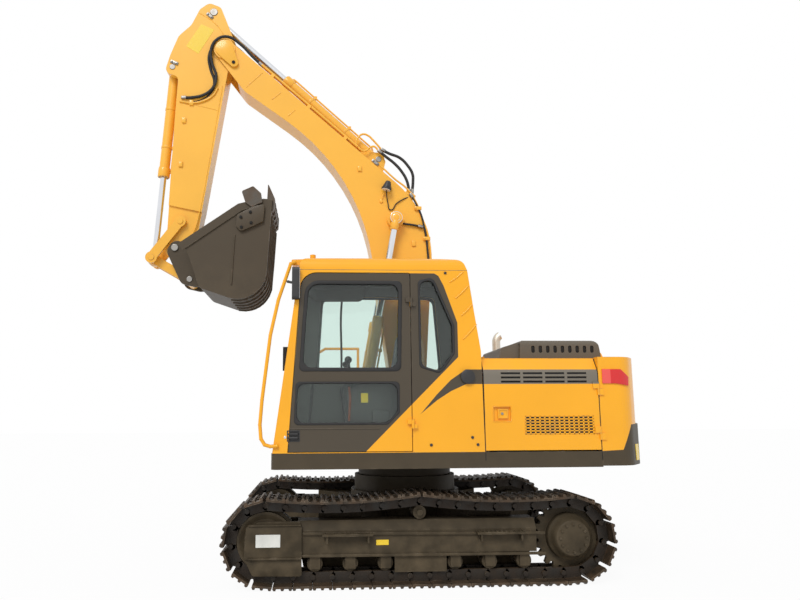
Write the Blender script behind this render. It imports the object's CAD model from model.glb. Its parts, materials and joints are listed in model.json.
# %% [markdown]
# # A crawler excavator, dressed for a studio picture
# The shapes that carry load come from the part's source and are loaded as a fixed frame.
# This lesson gives each of them its finish and adds what only Blender makes well:
# hoses, seals, glass, cushions, weld beads, bolts and the shoes of the tracks.
# All sizes are metres, +X is forward, +Y is the machine's left and +Z is up.

# %% Load the frame
import json
import math
from collections import defaultdict

import bpy
from mathutils import Matrix, Vector


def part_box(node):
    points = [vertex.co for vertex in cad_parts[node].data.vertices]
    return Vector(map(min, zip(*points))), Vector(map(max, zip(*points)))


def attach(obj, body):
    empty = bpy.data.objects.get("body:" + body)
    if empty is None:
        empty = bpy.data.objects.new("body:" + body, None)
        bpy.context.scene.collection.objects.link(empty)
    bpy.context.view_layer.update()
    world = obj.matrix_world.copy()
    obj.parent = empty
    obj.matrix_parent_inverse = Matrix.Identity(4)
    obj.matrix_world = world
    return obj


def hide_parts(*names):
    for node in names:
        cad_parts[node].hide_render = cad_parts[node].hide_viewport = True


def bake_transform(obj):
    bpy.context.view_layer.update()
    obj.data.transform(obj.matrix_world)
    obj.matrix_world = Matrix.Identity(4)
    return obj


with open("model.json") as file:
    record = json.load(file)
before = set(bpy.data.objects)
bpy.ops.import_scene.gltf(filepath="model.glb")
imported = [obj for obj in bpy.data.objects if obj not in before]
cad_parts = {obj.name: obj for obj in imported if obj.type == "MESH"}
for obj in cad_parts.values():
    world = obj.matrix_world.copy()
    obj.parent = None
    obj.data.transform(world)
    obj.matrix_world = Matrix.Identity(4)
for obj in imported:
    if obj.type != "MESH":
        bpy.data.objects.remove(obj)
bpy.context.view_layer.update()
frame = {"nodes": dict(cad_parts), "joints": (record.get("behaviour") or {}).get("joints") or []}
nodes = frame["nodes"]
pins = {j["name"]: Vector(j["pos_m"]) for j in frame["joints"] if "pos_m" in j}

# %% [markdown]
# ## Working frames
# The boom, the arm and the bucket are drawn along the line between their own pins, so each has
# a small frame of its own. The pins are read from the joints, which keeps a piece on the boom
# in its place if the boom is parked at another angle.

# %% Frames of the deck, boom, arm and bucket
SWING_X = pins["swing"].x
BUCKET_TILT = math.radians(147.9)


def at(x, y, z):
    """A point measured from the swing axis on the ground."""
    return Vector((SWING_X + x, y, z))


def pin_frame(pin, way):
    ahead = Vector((way.x, 0, way.z)).normalized()
    up = Vector((-ahead.z, 0, ahead.x))
    return lambda x, y, z: pin + ahead * x + up * z + Vector((0, y, 0))


on_boom = pin_frame(pins["boom_lift"], pins["arm_swing"] - pins["boom_lift"])
on_arm = pin_frame(pins["arm_swing"], pins["bucket_curl"] - pins["arm_swing"])
on_bucket = pin_frame(pins["bucket_curl"], Vector((math.cos(BUCKET_TILT), 0, math.sin(BUCKET_TILT))))
print("boom nose at", [round(v, 3) for v in pins["arm_swing"]])

# %% [markdown]
# ## Camera
# The photograph is taken from the machine's left, a little below the middle of the cab, and
# tilted up. The lens and the turn were found from the wheel axles, the deck and the cab.

# %% Camera
CAMERA_AT = at(0.907, 7.652, 1.478)
FOCAL_PX, WIDTH_PX, MIDDLE_PX = 711.4, 800, 360
YAW, PITCH, ROLL = 0.0588, 0.1608, -0.0051
SENSOR = 36

flat_ahead = Vector((-math.sin(YAW), -math.cos(YAW), 0))
flat_right = Vector((-math.cos(YAW), math.sin(YAW), 0))
ahead = flat_ahead * math.cos(PITCH) + Vector((0, 0, math.sin(PITCH)))
above = Vector((0, 0, math.cos(PITCH))) - flat_ahead * math.sin(PITCH)
right = flat_right * math.cos(ROLL) + above * math.sin(ROLL)
above = above * math.cos(ROLL) - flat_right * math.sin(ROLL)
bpy.ops.object.camera_add(location=CAMERA_AT)
camera = bpy.context.object
camera.name = "photo_camera"
camera.matrix_world = Matrix.Translation(CAMERA_AT) @ Matrix((right, above, -ahead)).transposed().to_4x4()
camera.data.sensor_width = SENSOR
camera.data.lens = FOCAL_PX / WIDTH_PX * SENSOR
camera.data.shift_x = (WIDTH_PX / 2 - MIDDLE_PX) / WIDTH_PX
bpy.context.scene.camera = camera
print("lens", round(camera.data.lens, 2), "mm")

# %% [markdown]
# ## Hands for modelling
# Operators act on everything that is selected, so each helper clears the selection first.
# A finished piece has its place in its mesh and its object at the origin, as the frame's nodes have.

# %% Selecting and settling
EDGE_DEG = 35


def clear():
    if bpy.context.mode != "OBJECT":
        bpy.ops.object.mode_set(mode="OBJECT")
    bpy.ops.object.select_all(action="DESELECT")


def only(obj):
    clear()
    obj.select_set(True)
    bpy.context.view_layer.objects.active = obj


def settle(obj):
    only(obj)
    bpy.ops.object.transform_apply(location=True, rotation=True, scale=True)
    return obj


def leave_edit():
    bpy.ops.object.mode_set(mode="OBJECT")


def pick(obj, test):
    """Edit mode with only the faces selected whose normal passes the test."""
    only(obj)
    bpy.ops.object.mode_set(mode="EDIT")
    bpy.ops.mesh.select_mode(type="FACE")
    bpy.ops.mesh.select_all(action="DESELECT")
    leave_edit()
    for face in obj.data.polygons:
        face.select = bool(test(face.normal))
    bpy.ops.object.mode_set(mode="EDIT")


def taper(obj, scale, centre):
    """Draws the upper face in towards a centre."""
    pick(obj, lambda normal: normal.z > 0.9)
    bpy.ops.transform.resize(value=scale, center_override=centre)
    leave_edit()
    return obj


def emboss(obj, sign, *steps):
    """Insets the face on the left or the right and pushes it out or in, once for each step."""
    pick(obj, lambda normal: normal.y * sign > 0.9)
    for inset, push in steps:
        bpy.ops.mesh.inset(thickness=inset)
        bpy.ops.mesh.extrude_region_move(TRANSFORM_OT_translate={"value": (0, sign * push, 0)})
    leave_edit()
    return obj


def apply_modifier(obj, kind, **settings):
    only(obj)
    modifier = obj.modifiers.new(kind.lower(), kind)
    for key, value in settings.items():
        setattr(modifier, key, value)
    bpy.ops.object.modifier_apply(modifier=modifier.name)
    return obj


def round_off(obj, width, segments=2, angle=EDGE_DEG):
    return apply_modifier(obj, "BEVEL", width=width, segments=segments, limit_method="ANGLE",
                          angle_limit=math.radians(angle))


# %% Outlines and routes
SIDES = (("left", 1), ("right", -1))


def corner(points, i):
    """A corner's place, the ways to its two neighbours and half the angle between them."""
    here = Vector(points[i][:2])
    back = (Vector(points[i - 1][:2]) - here).normalized()
    on = (Vector(points[(i + 1) % len(points)][:2]) - here).normalized()
    return here, back, on, back.angle(on) / 2


def rounded(points, steps=6):
    """An outline whose corners are turned into arcs: a point's third number is its radius."""
    made = []
    for i, point in enumerate(points):
        here, back, on, half = corner(points, i)
        if len(point) < 3:
            made.append(here)
            continue
        radius = point[2]
        middle = here + (back + on).normalized() * (radius / math.sin(half))
        reach = radius / math.tan(half)
        for step in range(steps + 1):
            share = step / steps
            way = (here + back * reach - middle) * (1 - share) + (here + on * reach - middle) * share
            made.append(middle + way.normalized() * radius)
    return made


def arc_points(middle, radius, first_deg, step_deg, count):
    """Points of an arc in the side view."""
    angles = [math.radians(first_deg + step_deg * k) for k in range(count)]
    return [(middle[0] + radius * math.cos(t), middle[1] + radius * math.sin(t)) for t in angles]


def beside(points, y):
    """Points of the side view, X and Z, laid in the plane at y."""
    return [at(x, y, z) for x, z in points]


def spots(points):
    return [at(*point) for point in points]


# %% Blocks, plates, rounds and tubes
RIM_SHARE, RIM_DEG = 0.15, 60
SUNK = 0.004


def block(name, low, high):
    clear()
    low, high = Vector(low), Vector(high)
    bpy.ops.mesh.primitive_cube_add(size=1, location=(low + high) / 2, scale=high - low)
    obj = settle(bpy.context.object)
    obj.name = name
    return obj


def side_block(name, xs, ys, zs, sign=1):
    """A block between two places along each axis, on the left or, with sign -1, on the right."""
    low_y, high_y = sorted((sign * ys[0], sign * ys[1]))
    return block(name, at(xs[0], low_y, zs[0]), at(xs[1], high_y, zs[1]))


def drawn(name, outline, fill):
    """A mesh of the outline alone, open or filled."""
    clear()
    bpy.ops.mesh.primitive_circle_add(vertices=len(outline), fill_type=fill)
    obj = bpy.context.object
    obj.name = name
    for vertex, point in zip(obj.data.vertices, outline):
        vertex.co = point
    obj.data.update()
    return obj


def pull_out(obj, depth):
    """Makes a solid of the active object's flat faces."""
    bpy.ops.object.mode_set(mode="EDIT")
    bpy.ops.mesh.select_all(action="SELECT")
    bpy.ops.mesh.extrude_region_move(TRANSFORM_OT_translate={"value": depth})
    bpy.ops.mesh.select_all(action="SELECT")
    bpy.ops.mesh.normals_make_consistent(inside=False)
    leave_edit()
    return settle(obj)


def plate(name, outline, depth):
    """A flat face through the outline's points, extruded by the depth vector."""
    return pull_out(drawn(name, outline, "NGON"), depth)


def panel(name, outline, y, thick, steps=6):
    """A plate of the side view, from y outwards or, with a negative thickness, inwards."""
    return plate(name, beside(rounded(outline, steps), y), Vector((0, thick, 0)))


def cylinder(name, start, stop, radius, sides, caps):
    clear()
    way = stop - start
    bpy.ops.mesh.primitive_cylinder_add(vertices=sides, radius=radius, depth=way.length, end_fill_type=caps,
                                        location=(start + stop) / 2,
                                        rotation=way.to_track_quat("Z", "Y").to_euler())
    obj = settle(bpy.context.object)
    obj.name = name
    return obj


def rod(name, start, stop, radius, sides=24):
    """A round bar with its end rims bevelled."""
    start, stop = Vector(start), Vector(stop)
    obj = cylinder(name, start, stop, radius, sides, "NGON")
    return round_off(obj, min(radius, (stop - start).length) * RIM_SHARE, 2, RIM_DEG)


def sleeve(name, start, stop, radius, wall, sides=32):
    """A round bar with a bore, open at both ends."""
    obj = cylinder(name, start, stop, radius, sides, "NOTHING")
    apply_modifier(obj, "SOLIDIFY", thickness=wall, offset=-1)
    return round_off(obj, min(wall, (stop - start).length) * RIM_SHARE, 2, RIM_DEG)


def peg(name, x, z, ys, radius, sides):
    """A round bar across the machine, between two places along Y."""
    return rod(name, at(x, ys[0], z), at(x, ys[1], z), radius, sides)


def dot(name, x, z, y, radius, proud, sides=16, sign=1):
    """A bolt head or a button that stands out from a side face at y."""
    return peg(name, x, z, (y - sign * SUNK, y + sign * proud), radius, sides)


def tube(name, points, radius, closed=False, sides=6, smooth=True):
    """A round tube along the points, as a mesh: smooth bends them, and else they are corners."""
    clear()
    bpy.ops.curve.primitive_bezier_curve_add()
    obj = bpy.context.object
    obj.name = name
    curve = obj.data
    curve.splines.clear()
    spline = curve.splines.new("BEZIER")
    spline.bezier_points.add(len(points) - 1)
    for knot, point in zip(spline.bezier_points, points):
        knot.co = point
        knot.handle_left_type = knot.handle_right_type = "AUTO" if smooth else "VECTOR"
    spline.use_cyclic_u = closed
    spline.resolution_u = 8 if smooth else 1
    curve.bevel_depth = radius
    curve.bevel_resolution = sides // 2
    curve.use_fill_caps = not closed
    only(obj)
    bpy.ops.object.convert(target="MESH")
    return settle(bpy.context.object)


# %% Joining and handing over
def join(name, pieces):
    clear()
    for piece in pieces:
        piece.select_set(True)
    bpy.context.view_layer.objects.active = pieces[0]
    bpy.ops.object.join()
    obj = bpy.context.object
    obj.name = name
    return obj


def copies(name, pattern, places):
    """One object of copies of a pattern, each at a matrix."""
    made = []
    for place in places:
        copy = bpy.data.objects.new(name, pattern.data.copy())
        bpy.context.scene.collection.objects.link(copy)
        copy.data.transform(place)
        made.append(copy)
    return join(name, made)


def wear(obj, body, material, smooth=40):
    """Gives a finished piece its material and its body."""
    obj.data.materials.clear()
    obj.data.materials.append(material)
    only(obj)
    bpy.ops.object.shade_smooth_by_angle(angle=math.radians(smooth))
    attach(obj, body)
    print(obj.name, "on", body, len(obj.data.polygons), "faces")
    return obj


# %% [markdown]
# ## Finishes
# Every finish is a Principled shader with its colour, roughness and bump made by nodes from Object
# coordinates, so a pattern stays on a piece as the machine moves. What several finishes share,
# such as worn edges, dust and the skin of sprayed paint, is a node group with its own inputs.

# %% Small helpers for nodes
def linear(red, green, blue):
    """A colour as a picture program writes it, made linear for the shader."""
    parts = [c / 255 for c in (red, green, blue)]
    return tuple(c / 12.92 if c <= 0.04045 else ((c + 0.055) / 1.055) ** 2.4 for c in parts) + (1,)


def put(tree, socket, value):
    if isinstance(value, bpy.types.NodeSocket):
        tree.links.new(value, socket)
    else:
        socket.default_value = value


def add(tree, kind, inputs=None, **settings):
    node = tree.nodes.new(kind)
    for key, value in settings.items():
        setattr(node, key, value)
    for key, value in (inputs or {}).items():
        put(tree, node.inputs[key], value)
    return node


def calc(tree, operation, a, b=0.0, clamp=False):
    return add(tree, "ShaderNodeMath", {0: a, 1: b}, operation=operation, use_clamp=clamp).outputs[0]


def mix(tree, factor, a, b, blend="MIX"):
    return add(tree, "ShaderNodeMix", {0: factor, 6: a, 7: b}, data_type="RGBA", blend_type=blend).outputs[2]


def spread(tree, value, low, high, to_low=0.0, to_high=1.0):
    return add(tree, "ShaderNodeMapRange", {0: value, 1: low, 2: high, 3: to_low, 4: to_high}).outputs[0]


def noise(tree, place, scale, detail=3.0):
    return add(tree, "ShaderNodeTexNoise", {"Vector": place, "Scale": scale, "Detail": detail}).outputs["Fac"]


def axis(tree, vector, name):
    return add(tree, "ShaderNodeSeparateXYZ", {0: vector}).outputs[name]


def facing_way(tree):
    return add(tree, "ShaderNodeNewGeometry").outputs["Normal"]


def effect(name, inputs, output):
    """A node group with float or vector inputs and one float output."""
    tree = bpy.data.node_groups.new(name, "ShaderNodeTree")
    for key, kind in inputs.items():
        tree.interface.new_socket(key, in_out="INPUT", socket_type=kind)
    tree.interface.new_socket(output, in_out="OUTPUT", socket_type="NodeSocketFloat")
    return tree, tree.nodes.new("NodeGroupInput").outputs, tree.nodes.new("NodeGroupOutput").inputs[0]


FLOAT, VECTOR = "NodeSocketFloat", "NodeSocketVector"


def placed(tree, group, **inputs):
    node = add(tree, "ShaderNodeGroup", node_tree=group)
    for key, value in inputs.items():
        put(tree, node.inputs[key], value)
    return node.outputs[0]


# %% Effects: worn edges, dust, paint skin, mottle and a straight paint edge
worn_edges, given, out = effect("worn_edges", {"Place": VECTOR, "Reach": FLOAT, "Amount": FLOAT}, "Mask")
rounded_way = add(worn_edges, "ShaderNodeBevel", {"Radius": given["Reach"]}, samples=4).outputs[0]
turn = add(worn_edges, "ShaderNodeVectorMath", {0: rounded_way, 1: facing_way(worn_edges)}, operation="DOT_PRODUCT")
edge = spread(worn_edges, turn.outputs[1], 0.995, 0.86)
patchy = spread(worn_edges, noise(worn_edges, given["Place"], 14.0, 5.0), 0.5, 0.66)
put(worn_edges, out, calc(worn_edges, "MULTIPLY", calc(worn_edges, "MULTIPLY", edge, patchy), given["Amount"]))

dust, given, out = effect("ground_dust", {"Place": VECTOR, "Top": FLOAT, "Depth": FLOAT, "Amount": FLOAT}, "Mask")
height = axis(dust, given["Place"], "Z")
low = calc(dust, "DIVIDE", calc(dust, "SUBTRACT", given["Top"], height), given["Depth"], True)
lying = spread(dust, axis(dust, facing_way(dust), "Z"), 0.2, 0.95)
either = calc(dust, "MAXIMUM", low, calc(dust, "MULTIPLY", lying, 0.55))
cloudy = spread(dust, noise(dust, given["Place"], 7.0, 8.0), 0.32, 0.72)
put(dust, out, calc(dust, "MULTIPLY", calc(dust, "MULTIPLY", either, cloudy), given["Amount"]))

skin, given, out = effect("sprayed_skin", {"Place": VECTOR, "Grain": FLOAT}, "Height")
put(skin, out, noise(skin, given["Place"], given["Grain"], 1.0))

mottle, given, out = effect("mottle", {"Place": VECTOR, "Scale": FLOAT}, "Mask")
put(mottle, out, spread(mottle, noise(mottle, given["Place"], given["Scale"], 4.0), 0.3, 0.7))

EDGE_SHARP = 700.0
paint_edge, given, out = effect("paint_edge", {"Place": VECTOR, "Way": VECTOR, "Reach": FLOAT}, "Mask")
depth = add(paint_edge, "ShaderNodeVectorMath", {0: given["Place"], 1: given["Way"]}, operation="DOT_PRODUCT")
sharp = calc(paint_edge, "MULTIPLY", calc(paint_edge, "SUBTRACT", depth.outputs[1], given["Reach"]), EDGE_SHARP)
put(paint_edge, out, calc(paint_edge, "ADD", sharp, 0.5, True))
print("effects", [g.name for g in bpy.data.node_groups])


# %% Start of a finish
def finish(name, roughness=0.5, metallic=0.0):
    material = bpy.data.materials.new(name)
    material.use_nodes = True
    tree = material.node_tree
    shader = tree.nodes["Principled BSDF"]
    shader.inputs["Roughness"].default_value = roughness
    shader.inputs["Metallic"].default_value = metallic
    place = add(tree, "ShaderNodeTexCoord").outputs["Object"]
    return material, tree, shader.inputs, place


def bump(tree, sockets, height, strength, distance):
    put(tree, sockets["Normal"],
        add(tree, "ShaderNodeBump", {"Height": height, "Strength": strength, "Distance": distance}).outputs[0])


# %% [markdown]
# ## Paint
# The machine is sprayed in two tones, and the border between them crosses panels. A zone of the
# second tone is bounded by straight paint edges, each a half plane in the side view, multiplied together.
# Two points give an edge, and the zone lies on the left of the way from the first to the second.

# %% Painted finishes
YELLOW = linear(251, 176, 30)
BOOM_YELLOW = linear(251, 187, 66)
TAUPE = linear(72, 63, 49)
BAND = linear(118, 111, 99)
DUST = linear(150, 132, 105)
PRIMER = linear(120, 108, 92)
LINING = linear(96, 96, 92)


def beyond(tree, place, planes):
    """A mask of what lies beyond every plane, each given by a point on it and a way."""
    mask = None
    for point, way in planes:
        way = Vector(way).normalized()
        cut = placed(tree, paint_edge, Place=place, Way=way, Reach=way.dot(point))
        mask = cut if mask is None else calc(tree, "MULTIPLY", mask, cut)
    return mask


def edge_planes(edges):
    for first, second in edges:
        a, b = at(first[0], 0, first[1]), at(second[0], 0, second[1])
        yield a, (a.z - b.z, 0, b.x - a.x)


def paint(name, colour, roughness=0.32, dust_top=1.0, dust_amount=0.25, wear_amount=0.5,
          zones=(), lining=(), tone=TAUPE, coat=0.2, shine=0.35):
    """Sprayed paint with zones of a second tone and, beyond the lining's planes, a grey inner face."""
    material, tree, sockets, place = finish(name, roughness)
    sockets["Specular IOR Level"].default_value = shine
    base = colour
    for edges in zones:
        base = mix(tree, beyond(tree, place, edge_planes(edges)), base, tone)
    if lining:
        base = mix(tree, beyond(tree, place, lining), base, LINING)
    shaded = mix(tree, calc(tree, "MULTIPLY", placed(tree, mottle, Place=place, Scale=1.7), 0.14), base,
                 (0.55, 0.5, 0.45, 1), "MULTIPLY")
    dirt = placed(tree, dust, Place=place, Top=dust_top, Depth=0.9, Amount=dust_amount)
    dusty = mix(tree, dirt, shaded, DUST)
    scuffs = placed(tree, worn_edges, Place=place, Reach=0.012, Amount=wear_amount)
    put(tree, sockets["Base Color"], mix(tree, scuffs, dusty, PRIMER))
    put(tree, sockets["Roughness"], spread(tree, dirt, 0.0, 1.0, roughness, 0.85))
    put(tree, sockets["Coat Weight"], spread(tree, dirt, 0.0, 0.4, coat, 0.0))
    sockets["Coat Roughness"].default_value = 0.12
    bump(tree, sockets, placed(tree, skin, Place=place, Grain=260.0), 0.08, 0.002)
    return material


# %% Zones of the second tone
BAND_LOW, BAND_TOP, BAND_FRONT, LAP = 1.753, 1.885, -0.43, 0.004
door_split = [((-0.38, 2.015), (0.485, 1.158))]
band = [((-1.7, BAND_LOW), (-0.36, BAND_LOW)), ((-0.36, BAND_TOP), (-1.7, BAND_TOP))]
quarter_zone = door_split + [((-0.364, 2.313), (-0.364, 1.9)), ((-0.245, 2.656), (-0.364, 2.313)),
                             ((-0.198, 2.749), (-0.245, 2.656)), ((-0.131, 2.788), (-0.198, 2.749)),
                             ((0.1, 2.772), (-0.6, 2.772)), ((0.075, 1.0), (0.075, 3.0))]
spear = [(-0.008, 1.486, 1.486), (-0.16, 1.661, 1.608), (-0.29, 1.791, 1.690), (BAND_FRONT, BAND_TOP, BAND_LOW)]
swoosh = [[((x0, top0), (x1, top1)), ((x1, low1), (x0, low0)), ((x0 + LAP, 1), (x0 + LAP, 3)), ((x1, 3), (x1, 1))]
          for (x0, top0, low0), (x1, top1, low1) in zip(spear, spear[1:])]
pillar_band = [((BAND_FRONT + LAP, 1.5), (BAND_FRONT + LAP, 2.0))] + band
print("edges of the quarter zone", len(quarter_zone), "parts of the swoosh", len(swoosh))

# %% The machine's paints
yellow_paint = paint("yellow_paint", YELLOW)
boom_paint = paint("boom_paint", BOOM_YELLOW)
taupe_paint = paint("taupe_paint", TAUPE, 0.48, 1.3, 0.15, 0.6, coat=0.05, shine=0.2)
frame_paint = paint("frame_paint", linear(60, 52, 39), 0.55, 0.9, 0.3, 0.7, coat=0.03, shine=0.15)
door_paint = paint("door_paint", YELLOW, zones=[door_split], lining=[(at(0, 1.19, 2), (0, -1, 0))])
cab_side_paint = paint("cab_side_paint", YELLOW, zones=[quarter_zone, *swoosh, pillar_band],
                       lining=[(at(0, 1.185, 2), (0, -1, 0))])
cab_inner_paint = paint("cab_inner_paint", YELLOW, lining=[(at(0, 0.370, 2), (0, 1, 0))])
cab_front_paint = paint("cab_front_paint", YELLOW, lining=[(at(1.262, 0, 1.17), (-1.63, 0, -0.223))])
cab_rear_paint = paint("cab_rear_paint", YELLOW, lining=[(at(-0.548, 0, 1.17), (0.88, 0, -0.01)),
                                                         (at(-0.538, 0, 2.05), (0.75, 0, -0.105))])
cab_roof_paint = paint("cab_roof_paint", YELLOW, lining=[(at(0, 0, 2.803), (0, 0, -1))])
engine_door_paint = paint("engine_door_paint", YELLOW, zones=[band], tone=BAND)
cover_paint = paint("cover_paint", linear(104, 97, 86), 0.5, 1.3, 0.15, 0.6, coat=0.05, shine=0.2)
bucket_paint = paint("bucket_paint", linear(76, 66, 52), 0.55, 3.2, 0.15, 0.9, coat=0.05, shine=0.25)


# %% [markdown]
# ## Metals, rubber and plastic
# Track steel is brown with rubbed bright tops, cylinder rods are chromed and nearly smooth,
# and rubber is black, dull and finely grained. Each is told apart by its roughness more than its colour.

# %% Metals
def metal(name, colour, roughness, streaks, rust=0.0):
    material, tree, sockets, place = finish(name, roughness, 1.0)
    stains = placed(tree, mottle, Place=place, Scale=streaks)
    put(tree, sockets["Base Color"], mix(tree, calc(tree, "MULTIPLY", stains, 0.5 if rust else 0.15), colour,
                                         linear(96, 70, 48) if rust else linear(120, 116, 110)))
    put(tree, sockets["Roughness"], spread(tree, stains, 0.0, 1.0, roughness, roughness + 0.18))
    if rust:
        put(tree, sockets["Metallic"], spread(tree, stains, 0.2, 0.9, 0.9, 0.35))
        bump(tree, sockets, noise(tree, place, 90.0, 6.0), 0.25, 0.004)
    return material


chrome = metal("chrome", linear(226, 228, 232), 0.06, 3.0)
bare_steel = metal("bare_steel", linear(150, 147, 142), 0.32, 18.0)
pale_steel = metal("pale_steel", linear(214, 208, 196), 0.45, 6.0)
engine_iron = metal("engine_iron", linear(92, 90, 88), 0.5, 9.0, 0.4)


def track_metal(name, colour, dust_amount, chain_y=None):
    """Rusty steel with rubbed edges. The sides of a chain's links, near its middle plane, are black with grease."""
    material, tree, sockets, place = finish(name, 0.55, 0.35)
    rust = placed(tree, mottle, Place=place, Scale=11.0)
    brown = mix(tree, calc(tree, "MULTIPLY", rust, 0.55), colour, linear(92, 68, 46))
    dirt = placed(tree, dust, Place=place, Top=0.35, Depth=0.5, Amount=dust_amount)
    dusty = mix(tree, dirt, brown, linear(118, 102, 80))
    rubbed = placed(tree, worn_edges, Place=place, Reach=0.01, Amount=0.55)
    shown = mix(tree, rubbed, dusty, linear(168, 150, 128))
    if chain_y:
        away = calc(tree, "ABSOLUTE", axis(tree, place, "Y"))
        off = calc(tree, "ABSOLUTE", calc(tree, "SUBTRACT", away, chain_y))
        facing = calc(tree, "ABSOLUTE", axis(tree, facing_way(tree), "Y"))
        sides = calc(tree, "GREATER_THAN", facing, 0.6)
        grease = calc(tree, "MULTIPLY", sides, calc(tree, "LESS_THAN", off, 0.15))
        shown = mix(tree, calc(tree, "MULTIPLY", grease, 0.7), shown, linear(24, 21, 18))
    put(tree, sockets["Base Color"], shown)
    put(tree, sockets["Roughness"], spread(tree, rust, 0.0, 1.0, 0.42, 0.7))
    bump(tree, sockets, noise(tree, place, 70.0, 6.0), 0.3, 0.004)
    return material


track_steel = track_metal("track_steel", linear(46, 39, 30), 0.3, chain_y=1.0)
tooth_steel = track_metal("tooth_steel", linear(78, 72, 64), 0.2)


# %% Rubber, plastic and cloth
def grained(name, colour, roughness, grain, strength):
    material, tree, sockets, place = finish(name, roughness)
    grey = placed(tree, mottle, Place=place, Scale=5.0)
    put(tree, sockets["Base Color"], mix(tree, calc(tree, "MULTIPLY", grey, 0.35), colour, linear(64, 62, 60)))
    put(tree, sockets["Roughness"], spread(tree, grey, 0.0, 1.0, roughness, roughness + 0.15))
    bump(tree, sockets, noise(tree, place, grain, 2.0), strength, 0.002)
    return material


black_rubber = grained("black_rubber", linear(24, 24, 25), 0.62, 400.0, 0.15)
black_plastic = grained("black_plastic", linear(30, 30, 32), 0.4, 700.0, 0.2)
grey_plastic = grained("grey_plastic", linear(66, 64, 62), 0.5, 700.0, 0.2)
dark_hollow = grained("dark_hollow", linear(14, 13, 12), 0.85, 60.0, 0.1)

seat_cloth, tree, sockets, place = finish("seat_cloth", 0.9)
threads = [add(tree, "ShaderNodeTexWave", {"Vector": place, "Scale": 95.0, "Distortion": 0.4},
               bands_direction=way).outputs["Fac"] for way in ("Y", "DIAGONAL")]
weave = calc(tree, "MULTIPLY", *threads)
put(tree, sockets["Base Color"], mix(tree, weave, linear(38, 40, 46), linear(78, 80, 86)))
sockets["Sheen Weight"].default_value = 0.3
bump(tree, sockets, weave, 0.4, 0.002)

# %% [markdown]
# ## Glass and lenses
# The panes are tinted a pale green, as safety glass is. A faint film of dust is put in their roughness
# and not in their colour, so that light still goes straight through.

# %% Glass
cab_pane, tree, sockets, place = finish("cab_pane", 0.0)
sockets["Base Color"].default_value = (0.80, 0.90, 0.86, 1)
sockets["Transmission Weight"].default_value = 1.0
sockets["IOR"].default_value = 1.45
film = placed(tree, mottle, Place=place, Scale=2.5)
put(tree, sockets["Roughness"], spread(tree, film, 0.4, 1.0, 0.0, 0.05))

red_lens, tree, sockets, place = finish("red_lens", 0.18)
ribs = add(tree, "ShaderNodeTexWave", {"Vector": place, "Scale": 60.0}, bands_direction="X").outputs["Fac"]
pale = placed(tree, paint_edge, Place=place, Way=Vector((1, 0, 0)), Reach=at(-1.765, 0, 0).x)
put(tree, sockets["Base Color"], mix(tree, pale, mix(tree, ribs, linear(206, 16, 20), linear(222, 40, 40)),
                                     linear(236, 84, 76)))
sockets["Coat Weight"].default_value = 0.2
bump(tree, sockets, ribs, 0.15, 0.002)
print("finishes", len(bpy.data.materials))

# %% [markdown]
# ## Dressing the frame's nodes
# A node whose shape is right keeps its mesh and takes a finish. Plates from a mill have no knife
# edges, so a live Weld, Decimate and Bevel stack breaks every corner by a few millimetres without
# touching the mesh itself, and Weighted Normal keeps the flats flat.

# %% Finishes of the nodes
BREAK, WELD, FLAT_DEG = 0.005, 0.0002, 0.5
BROAD = {"counterweight": 0.12, "counterweight_base": 0.025, "mirrors": 0.022, "hood_cover": 0.014,
         "fuel_tank": 0.02, "hydraulic_tank": 0.02, "cab_roof": 0.012}
dressed = {
    yellow_paint: "counterweight bay_frame fuel_tank hydraulic_tank hood handrails",
    boom_paint: """boom boom_pipes arm idler_links bucket_link boom_cylinder_barrels arm_cylinder_barrel
        bucket_cylinder_barrel""",
    cab_inner_paint: "cab_right_side",
    cab_front_paint: "cab_front",
    cab_rear_paint: "cab_rear",
    cab_roof_paint: "cab_roof",
    taupe_paint: "deck_frame counterweight_base tool_box",
    cover_paint: "hood_cover",
    frame_paint: """lower_frame track_frame_left track_frame_right rollers_left rollers_right sprocket_left
        sprocket_right slewing_ring""",
    bucket_paint: "bucket",
    door_paint: "cab_door",
    cab_side_paint: "cab_left_side",
    engine_door_paint: "left_engine_door right_engine_door",
    track_steel: "track_left track_right",
    tooth_steel: "bucket_teeth",
    bare_steel: "upper_pins boom_pins arm_pins ear_pin_bar",
    engine_iron: "engine",
    chrome: "boom_cylinder_rods arm_cylinder_rod bucket_cylinder_rod",
    pale_steel: "exhaust",
    cab_pane: "cab_glass door_glass",
    black_plastic: "controls mirrors cab_floor",
    seat_cloth: "seat",
}
sharp_kept = "cab_glass door_glass track_left track_right exhaust seat".split()
for material, names in dressed.items():
    for name in names.split():
        node = nodes[name]
        node.data.materials.clear()
        node.data.materials.append(material)
        if name in sharp_kept:
            continue
        weld = node.modifiers.new("weld", "WELD")
        weld.merge_threshold = WELD
        flats = node.modifiers.new("flats", "DECIMATE")
        flats.decimate_type = "DISSOLVE"
        flats.angle_limit = math.radians(FLAT_DEG)
        edge = node.modifiers.new("edge", "BEVEL")
        edge.width, edge.limit_method = BROAD.get(name, BREAK), "ANGLE"
        edge.segments = 5 if name in BROAD else 2
        edge.angle_limit = math.radians(EDGE_DEG)
        node.modifiers.new("normals", "WEIGHTED_NORMAL").keep_sharp = True
print("dressed", sum(len(n.split()) for n in dressed.values()), "of", len(nodes))

# %% Ways to hand a piece over
ROUND_DEG = 80


def boom_wear(obj, body, smooth=40):
    return wear(obj, body, boom_paint, smooth)


def black_wear(obj, body, material=black_plastic, smooth=40):
    return wear(obj, body, material, smooth)


def frame_wear(obj):
    return wear(obj, "undercarriage", frame_paint)


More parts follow.
